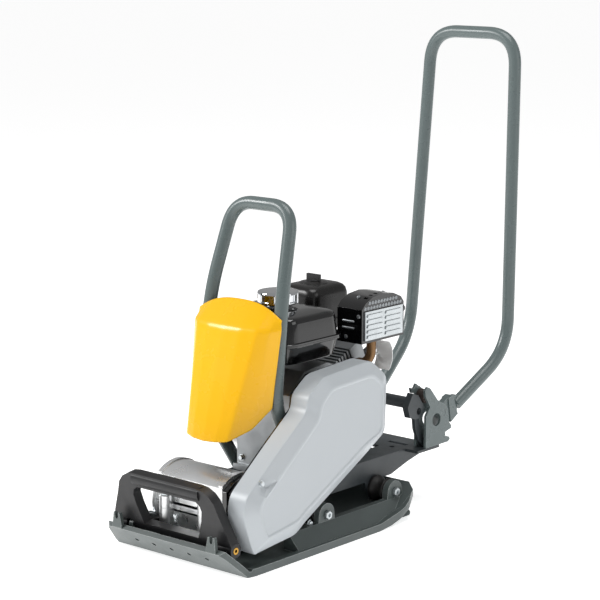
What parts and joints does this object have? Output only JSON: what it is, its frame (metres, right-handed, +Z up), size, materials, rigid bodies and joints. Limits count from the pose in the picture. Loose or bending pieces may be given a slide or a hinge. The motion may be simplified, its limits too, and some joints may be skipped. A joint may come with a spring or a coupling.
{
  "type": "plate compactor",
  "caption": "Walk-behind vibrating plate: cast sole, split exciter, belt drive, small engine on rubber buffers, lifting hoop, front carrying handle and folding guide handle.",
  "frame": {"origin": "centre of the flat sole, on the ground", "axes": "+X to the belt-guard side, -Y in the direction of travel, +Z up"},
  "size_m": [0.31, 0.8485, 0.8425],
  "materials": {
    "plate_casting": "grey painted casting",
    "deck_paint": "dark grey powder coat",
    "tube_paint": "satin grey powder coat",
    "yellow_cover": "smooth yellow moulding",
    "grey_guard": "light grey satin moulding",
    "cast_aluminium": "as cast",
    "black_paint": "gloss black paint",
    "machined_steel": "turned",
    "zinc_steel": "zinc plated",
    "black_rubber": "moulded rubber",
    "black_plastic": "moulded plastic",
    "chrome_cap": "polished",
    "brass_bush": "turned",
    "exhaust_steel": "heat-browned steel",
    "pale_shield": "pale coated sheet"
  },
  "bodies": {
    "base": {"base_plate": "plate_casting", "accessory_fork_left": "plate_casting", "accessory_fork_right": "plate_casting", "rubber_mount_front_left": "black_rubber", "rubber_mount_front_right": "black_rubber", "rubber_mount_rear_left": "black_rubber", "rubber_mount_rear_right": "black_rubber", "mount_bolt_front_left": "zinc_steel", "mount_bolt_front_right": "zinc_steel", "mount_bolt_rear_left": "zinc_steel", "mount_bolt_rear_right": "zinc_steel", "pivot_bush_left": "brass_bush", "pivot_bush_right": "brass_bush", "exciter_lower_half": "cast_aluminium", "exciter_upper_half": "cast_aluminium", "exciter_end_cover": "cast_aluminium", "exciter_end_plate": "black_paint", "exciter_bolt_left": "zinc_steel", "exciter_bolt_right": "zinc_steel", "engine_deck": "deck_paint", "lift_hoop": "tube_paint", "front_cover": "yellow_cover", "rear_cross_bar": "deck_paint", "handle_bracket_left": "tube_paint", "handle_bracket_right": "tube_paint", "handle_stop_left": "black_rubber", "handle_stop_right": "black_rubber", "crankcase": "cast_aluminium", "crankcase_cover": "cast_aluminium", "cylinder_block": "cast_aluminium", "cylinder_head": "cast_aluminium", "spark_plug_cap": "black_rubber", "fan_cover": "black_paint", "fuel_tank_lower": "black_paint", "fuel_tank_upper": "black_paint", "air_cleaner_base": "black_plastic", "air_cleaner_cover": "black_plastic", "carburettor": "cast_aluminium", "muffler_guard": "black_paint", "muffler_body": "exhaust_steel", "muffler_louvres": "zinc_steel", "exhaust_pipe": "exhaust_steel", "heat_deflector": "pale_shield", "drive_belt": "black_rubber", "belt_guard": "grey_guard", "belt_guard_back": "black_paint"},
    "guide_handle": {"guide_handle": "tube_paint", "handle_end_left": "tube_paint", "handle_end_right": "tube_paint"},
    "carry_handle": {"front_carry_handle": "black_plastic"},
    "exciter_rotor": {"exciter_shaft": "machined_steel", "exciter_pulley": "machined_steel"},
    "crankshaft": {"crankshaft": "machined_steel"},
    "starter_grip": {"starter_grip": "black_plastic"},
    "fuel_cap": {"fuel_cap": "chrome_cap"},
    "air_cleaner_knob": {"air_cleaner_knob": "black_plastic"},
    "choke_lever": {"choke_lever": "black_plastic"},
    "throttle_lever": {"throttle_lever": "black_plastic"},
    "oil_filler_cap": {"oil_filler_cap": "black_plastic"},
    "engine_switch": {"engine_switch": "black_plastic"}
  },
  "joints": [
    {"name": "guide_handle_fold", "type": "hinge", "parent": "base", "child": "guide_handle", "pos_m": [0, 0.41, 0.158], "axis": [1, 0, 0], "range_deg": [0, 64]},
    {"name": "carry_handle_tilt", "type": "hinge", "parent": "base", "child": "carry_handle", "pos_m": [0, -0.18, 0.045], "axis": [1, 0, 0], "range_deg": [-6, 0]},
    {"name": "exciter_spin", "type": "hinge", "parent": "base", "child": "exciter_rotor", "pos_m": [0, -0.0955, 0.077], "axis": [1, 0, 0], "continuous": true},
    {"name": "crank_spin", "type": "hinge", "parent": "base", "child": "crankshaft", "pos_m": [0, 0.112, 0.208], "axis": [1, 0, 0], "continuous": true},
    {"name": "starter_pull", "type": "slide", "parent": "base", "child": "starter_grip", "axis": [0, -0.5, 0.866], "range_m": [0, 0.3], "stiffness_N_per_m": 20, "springref_m": -0.1},
    {"name": "fuel_cap_turn", "type": "hinge", "parent": "base", "child": "fuel_cap", "pos_m": [0, 0.074, 0.405], "axis": [0, 0, 1], "range_deg": [0, 90]},
    {"name": "air_cleaner_knob_turn", "type": "hinge", "parent": "base", "child": "air_cleaner_knob", "pos_m": [-0.065, 0.244, 0.408], "axis": [0, 0, 1], "continuous": true},
    {"name": "choke_turn", "type": "hinge", "parent": "base", "child": "choke_lever", "pos_m": [-0.084, 0.226, 0.304], "axis": [1, 0, 0], "range_deg": [0, 45]},
    {"name": "throttle_turn", "type": "hinge", "parent": "base", "child": "throttle_lever", "pos_m": [-0.02, 0.168, 0.296], "axis": [-1, 0, 0], "range_deg": [0, 40]},
    {"name": "oil_cap_turn", "type": "hinge", "parent": "base", "child": "oil_filler_cap", "pos_m": [0.034, 0.03, 0.134], "axis": [0, -1, 0], "continuous": true},
    {"name": "engine_switch_turn", "type": "hinge", "parent": "base", "child": "engine_switch", "pos_m": [-0.092, 0.03, 0.264], "axis": [0, -1, 0], "range_deg": [0, 45]}
  ],
  "couplings": [
    {"joint": "crank_spin", "follows": "exciter_spin", "ratio": 0.675}
  ]
}
